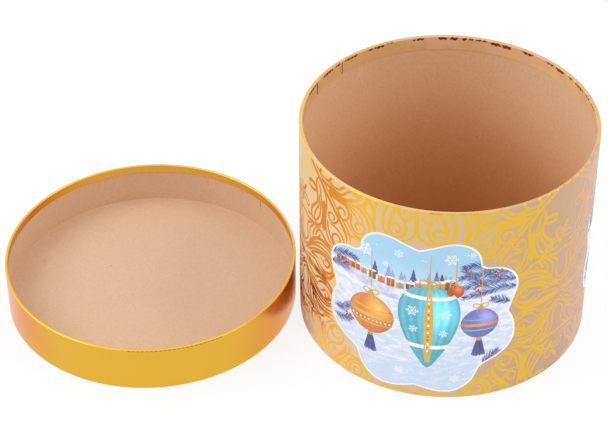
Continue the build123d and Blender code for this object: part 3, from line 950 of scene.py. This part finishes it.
def motifs(p):
    # layers: 1 flakes and trees, 2 parcels, 3 fir, 4 berries and threads, 5 glass, 6 belts, 7 knots, beads
    # and bows, 8 border
    chance = np.random.default_rng(12)
    white, gold = p["white"], p["gold"]
    parts = []
    for across, up, size, turn in p["flakes"]:
        parts += flake(across, up, size, 1, white, turn)
    snow = p["snowfall"]
    drawn = [chance.uniform(*snow[name], snow["count"]) for name in ("across", "up", "size")]
    for across, up, size in zip(*drawn):
        parts.append(dot(across, up, size, 1, white))
    tree = p["trees"]
    for k, across in enumerate(chance.uniform(*tree["across"], tree["count"])):
        foot, tall = tree["up"] - tree["fall"] * across * across, chance.uniform(*tree["tall"])
        tone = p["firLight"] if k % 3 else p["fir"]
        parts.append(firTree(across, foot, tall, 1, tone, chance.uniform(*tree["light"])))
    gift = p["parcels"]
    for k, across in enumerate(np.arange(*gift["across"])):
        wide, tall = chance.uniform(*gift["wide"]), chance.uniform(*gift["tall"])
        foot = gift["up"] + gift["wave"] * math.sin(across / gift["waveLong"])
        tone, ribbon = p[gift["tones"][k % 4]], p["violet"] if k % 2 else gold
        parts += parcel(across, foot, wide, tall, 2, tone, ribbon, white)
    for points in p["sprigs"]:
        parts += sprig(points, p["needle"], 3, p["fir"], p["firLight"], chance)
    aside, above, glint = p["glint"]
    for across, up in p["berries"]:
        parts.append(dot(across, up, p["berrySize"], 4, p["berry"]))
        parts.append(dot(across + aside, up + above, glint, 5, white))
    thread, (knot, knotGrows), (loops, loopsGrow) = p["thread"], p["knot"], p["bow"]
    for across, top, wide, tall, drawnOut, tone, ribs in p["ornaments"]:
        start = (across, thread["up"] - abs(across) * thread["fall"])
        parts.append(strip([start, (across, top)], thread["width"], 4, gold))
        if not drawnOut and wide > p["tasselFrom"]:
            parts += tassel(across, top - tall + 0.6, p["tassel"], 4, p["fir"], gold, chance)
        parts.append(glass(across, top, wide, tall, drawnOut, 5, p[tone], ribs))
        parts.append(dot(across, top + 0.8, wide * knotGrows + knot, 7, gold))
        parts += bow(across, top + 1.6, wide * loopsGrow + loops, 7, gold)
    for across, up, half, sag, thick, tone in p["belts"]:
        parts.append(belt(across, up, half, sag, thick, 6, p[tone]))
    bead = p["beads"]
    for aside in np.linspace(-bead["half"], bead["half"], bead["count"]):
        up = bead["up"] - bead["sag"] * math.sqrt(1 - (aside / bead["round"]) ** 2)
        parts.append(dot(bead["across"] + aside, up, bead["size"], 7, white))
    stripe = p["stripe"]
    t = np.linspace(stripe["from"], stripe["to"], 21)
    path = np.c_[stripe["across"] + 0 * t, stripe["top"] - stripe["tall"] * t]
    parts.append(strip(path, stripe["width"] * np.sqrt(np.sin(np.pi * t)), 6, gold, 1.1))
    for up in np.arange(*p["studs"]):
        parts.append(dot(stripe["across"], up, p["studSize"], 7, p["rust"] if up % 2 > 1 else white))
    for across, up, size, turn in p["glassFlakes"]:
        parts += flake(across, up, size, 6, white, turn)

    points, faces = together([part[:2] for part in parts])
    edge = pictureEdge(p)
    angle = np.arctan2(edge[:, 1], edge[:, 0])
    limit = np.interp(np.arctan2(points[:, 1], points[:, 0]), angle, np.hypot(*edge.T), period=2 * np.pi)
    # a face is printed only where all its corners are inside the outline
    faces = faces[(np.hypot(*points[:, :2].T) < limit)[faces].all(1)]
    rim = np.stack([shrunk(edge, p["border"]), edge], 1).reshape(-1, 2)
    border = inked((np.c_[rim, 8 * np.ones(len(rim))], gridFaces(len(edge), 2, closedAcross=True)), white)
    points, faces = together([(points, faces), border[:2]])
    return points, faces, np.vstack([part[2] for part in parts] + [border[2]])


def makePictures(cup, settings):
    edge, reach = shrunk(pictureEdge(settings), 0.6), np.linspace(0, 1, 50)[:, None, None]
    plate = np.dstack([reach * edge, 0 * reach[:, :, 0] + np.zeros(len(edge))]).reshape(-1, 3)
    plateFaces, flat = gridFaces(50, len(edge), closedAround=True), plate[:, :2] / settings["size"] + 0.5
    points, faces, ink = motifs(settings)
    ground = groundFinish(settings)
    for name, turn in settings["turns"].items():
        for part, corners, sides, finish, more in (
            ("ground", plate, plateFaces, ground, {"flat": flat}),
            ("ornaments", points, faces, finishes["ink"], {"ink": ink}),
        ):
            placed = corners * (1, 1, settings["layer"]) + (0, settings["middle"], settings["lift"])
            places = onPaper(cup, turn, placed)
            makePiece(f"picture-{name}-{part}", places, sides, finish, "box", "printed_paper", **more)


finishes["ink"] = inkFinish()
makePictures(tube, picture)
print("pictures printed on the tube")


# Small marks: bits of foil on the rim, painted shade under the rims and along creases in the lid's lining, and
# specks on the lid's floor. Turns are in degrees, and up is the distance along the paper's outer face, as for
# the scrolls.

marks = {
    "insideRim": [  # in shade, below the inner fold: from turn, to turn, up, width
        (166.5, 157.8, 145.75, 1.4), (151.9, 145, 145.85, 1.7), (143.4, 140.3, 145.6, 1.4),
        (138, 130.8, 145.6, 1.6), (125.4, 123.4, 145.9, 1.2), (122.6, 118, 145.7, 1.8), (117, 114, 145, 1),
        (105.6, 104.4, 146.2, 1.3), (104, 100.8, 145.9, 1.5), (95.1, 91.2, 146, 1.6),
        (90.1, 86.9, 146.2, 1.7), (85.2, 83.1, 145.9, 1.6), (82.3, 80.7, 145.9, 1.6), (79.4, 77.2, 146, 1.7),
        (76.8, 74.8, 146, 1.5), (73.6, 68.8, 146.4, 2), (68.3, 64.4, 146.4, 2.2), (59.3, 54, 145.9, 2),
        (47.6, 42.8, 145.6, 1.4), (42.1, 37.1, 146.2, 1.8), (34.5, 31.4, 145.6, 1.6), (29.5, 23, 145.7, 1.8),
        (20.5, 16.5, 145.5, 1.4), (14, 9, 145.4, 1.4),
    ],
    "onRim": [  # bright, on the outer fold
        (207, 187, 143.8, 1), (186, 150, 143.5, 0.9), (142, 118, 143.4, 0.4), (48, 31, 143.4, 0.7),
        (30, 20, 143.4, 1), (15, -13, 143.5, 1.3),
    ],
    "overRim": (-18.3, -25.3, -30.3, -34.8, -39.7, -44.6, -48.5, -53.4),  # turns of strokes aslant on the rim
    "overRimStroke": (3, 143.45, 144, 0.42),  # half its length, up at both ends, half its width
    "rimStep": 0.13,
    "thick": 0.04, "waver": 2.1,  # of the foil, and how fast the strokes inside waver
    # painted shade under the tube's front rim: from turn, to turn, up, width
    "tubeRimShade": [
        (-97, -92, 142.5, 0.4), (-91, -87.5, 142.6, 0.5), (-86, -83.5, 142.6, 0.4), (-82.5, -79, 142.6, 0.4),
        (-71.5, -70.2, 142.6, 1),
    ],
    "tubeRimShadeTone": (150, 102, 62), "tubeRimShadeLift": 0.07,
    "lidRimShade": (-92, -56, 1.7, 1.1), "lidRimShadeLine": (30.3, 0.5),  # painted shade in dashes on the front fold: turns; up, width
    "lidRimShadeTone": (88, 50, 18), "lidRimShadeLift": 0.01,
    "creases": [(73.4, 26.4, 71.7, 19.1), (55, 26.9, 55, 20.7)],  # painted shade along creases in the lid's lining: turn, height, twice
    "creaseShadeTone": (196, 154, 120), "creaseLift": 0.03, "creaseWidth": 0.35, "creaseRadius": 90.7,
    "specks": [(-258.5, 21.2, 0.9), (-214.4, 18.6, 0.9), (-166, 17.4, 0.6)],  # on the lid's floor: X, Y, size
    "speckTone": (150, 116, 86), "speckHeight": 2.63,
}


def alongRim(cup, start, end, up):  # an even line from one turn to another
    return evenSteps(np.array([(math.radians(turn) * cup["radius"], up) for turn in (start, end)]), 0.5)


def placeFoil(name, strokes, finish):
    points, faces = together(strokes)
    makePiece(name, onPaper(tube, 0, points), faces, finishes[finish], "box", "foil_paper")


# printed ink marks on a body: painted shade, or specks
def placeMarksAndShade(name, parts, place, body, slot):
    points, faces = together([part[:2] for part in parts])
    ink = np.vstack([part[2] for part in parts])
    makePiece(name, place(points), faces, finishes["ink"], body, slot, ink=ink)


def makeMarks(settings):
    for name, finish, waver in (("insideRim", "shadedFoil", 0.28), ("onRim", "rimFoil", 0)):
        strokes = []
        for start, end, up, width in settings[name]:
            path = alongRim(tube, start, end, up)
            path[:, 1] += waver * width * np.sin(path[:, 0] * settings["waver"])
            rounded = np.sqrt(1.02 - np.linspace(-1, 1, len(path)) ** 4)
            strokes.append(band(path, width / 2 * rounded, settings["thick"]))
        placeFoil("foil-" + name, strokes, finish)
    reach, low, high, half = settings["overRimStroke"]
    strokes = []
    for turn in settings["overRim"]:
        across = math.radians(turn) * tube["radius"]
        path = evenSteps(np.array([(across - reach, low), (across + reach, high)]), settings["rimStep"])
        strokes.append(band(path, half, settings["thick"]))
    placeFoil("foil-overRim", strokes, "rimFoil")

    # painted shade under the tube's front rim
    lift, tone = settings["tubeRimShadeLift"], settings["tubeRimShadeTone"]
    marksAndShade = [strip(alongRim(tube, *ends, up), width, lift, tone) for *ends, up, width in settings["tubeRimShade"]]
    placeMarksAndShade("rimShade-tube", marksAndShade, lambda points: onPaper(tube, 0, points), "box", "printed_paper")

    # painted shade in dashes on the lid's front fold
    start, end, apart, long = settings["lidRimShade"]
    up, width = settings["lidRimShadeLine"]
    lift, tone = settings["lidRimShadeLift"], settings["lidRimShadeTone"]
    turns = np.arange(start, end, apart)
    marksAndShade = [strip(alongRim(lid, turn, turn + long, up), width, lift, tone) for turn in turns]
    placeMarksAndShade("rimShade-lid", marksAndShade, lambda points: onPaper(lid, 0, points), "lid", "foil_paper")

    # painted shade along the creases in the lid's lining
    inner, laidOut = lidLining["inner"], settings["creaseRadius"]
    marksAndShade = []
    for turn, up, endTurn, endUp in settings["creases"]:
        path = [(-math.radians(turn) * laidOut, up), (-math.radians(endTurn) * laidOut, endUp)]
        marksAndShade.append(strip(path, settings["creaseWidth"], settings["creaseLift"], settings["creaseShadeTone"]))
    placeMarksAndShade(
        "creaseShade-lidLining", marksAndShade,
        lambda points: turned(lid, inner - points[:, 2], points[:, 1], -points[:, 0] / laidOut),
        "lid", "pale_ply",
    )

    height, tone = settings["speckHeight"], settings["speckTone"]
    marksAndShade = [dot(east, north, size, height, tone) for east, north, size in settings["specks"]]
    placeMarksAndShade("specks-lidFloor", marksAndShade, lambda points: points, "lid", "pale_ply")


makeMarks(marks)
print("marks made")

for node, finish in {
    "box_tube": "board", "base_board": "board", "base_lining": "tubeKraft", "base_cover": "printed",
    "lid_hoop": "board", "lid_board": "board", "lid_cover": "foil",
}.items():
    nodes[node].data.materials.clear()
    nodes[node].data.materials.append(finishes[finish])


# Floor, light and camera

studio = {
    "floor": paint(255, 255, 255), "half": 4, "drop": 0.00005, "softness": 0.85,
    "sky": 0.7,
    "lamps": {"softboxLeft": ((-1.35, -0.25, 1.35), 13), "softboxRight": ((1.25, -0.1, 1.35), 12)},
    "lampSize": 1.2,
}
view = {
    "place": (-22.67, -998.68, 875.56), "lens": 122.64,
    "yaw": -0.064675, "tilt": 0.683174, "roll": 0.006583,
}


def seenStraight(finish):  # 1 where the camera sees it, also in a mirror or through glass, else 0
    rays = ("Is Camera Ray", "Is Glossy Ray", "Is Transmission Ray")
    camera, glossy, through = (finish.node("ShaderNodeLightPath", output=ray) for ray in rays)
    return (camera + glossy + through).rise(0, 1)


def makeFloor(settings):  # a pale sheet whose shadow stays, seen nearly white
    half, drop = settings["half"], -settings["drop"]
    mesh = bpy.data.meshes.new("floor")
    corners = [(-half, -half, drop), (half, -half, drop), (half, half, drop), (-half, half, drop)]
    mesh.from_pydata(corners, [], [(0, 1, 2, 3)])
    finish = Finish("floorPaper")
    shade = finish.node("ShaderNodeBsdfDiffuse", inputs={"Color": settings["floor"]})
    white = finish.node("ShaderNodeEmission", inputs={"Color": (1, 1, 1, 1), "Strength": 1.0})
    share = seenStraight(finish) * settings["softness"]
    both = finish.node("ShaderNodeMixShader", inputs={0: share, 1: shade, 2: white})
    finish.node("ShaderNodeOutputMaterial", inputs={"Surface": both})
    mesh.materials.append(finish.material)
    addObject("floor", mesh)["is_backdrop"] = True


def makeSky(settings):  # even light from all round, and a white background where it is seen or mirrored
    world = bpy.data.worlds.new("studio")
    world.use_nodes = True
    bpy.context.scene.world = world
    finish = Finish("studio", world.node_tree)
    strength = settings["sky"] + seenStraight(finish) * (1 - settings["sky"])
    light = finish.node("ShaderNodeBackground", inputs={"Color": (1, 1, 1, 1), "Strength": strength})
    finish.node("ShaderNodeOutputWorld", inputs={"Surface": light})


def makeLamp(name, place, power, size):  # a soft square lamp that looks at the origin
    lamp = bpy.data.lights.new(name, "AREA")
    lamp.energy, lamp.size = power, size
    held = addObject(name, lamp)
    held.location = place
    held.rotation_euler = (-held.location).to_track_quat("-Z", "Y").to_euler()


def makeCamera(settings):
    camera = bpy.data.cameras.new("camera")
    camera.lens, camera.sensor_width, camera.clip_end = settings["lens"], 36, 50
    held = addObject("camera", camera)
    held.matrix_world = (
        Matrix.Translation([v / 1000 for v in settings["place"]])
        @ Matrix.Rotation(-settings["yaw"], 4, "Z")
        @ Matrix.Rotation(math.pi / 2 - settings["tilt"], 4, "X")
        @ Matrix.Rotation(-settings["roll"], 4, "Z")
    )
    bpy.context.scene.camera = held


makeFloor(studio)
makeSky(studio)
for name, (place, power) in studio["lamps"].items():
    makeLamp(name, place, power, studio["lampSize"])
makeCamera(view)
bpy.context.scene.view_settings.view_transform = "Standard"
print("floor, light and camera made")

plain = lambda corners: [[float(v) for v in corner] for corner in corners]
{"cad": plain(cadBox), "visual": plain(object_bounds())}
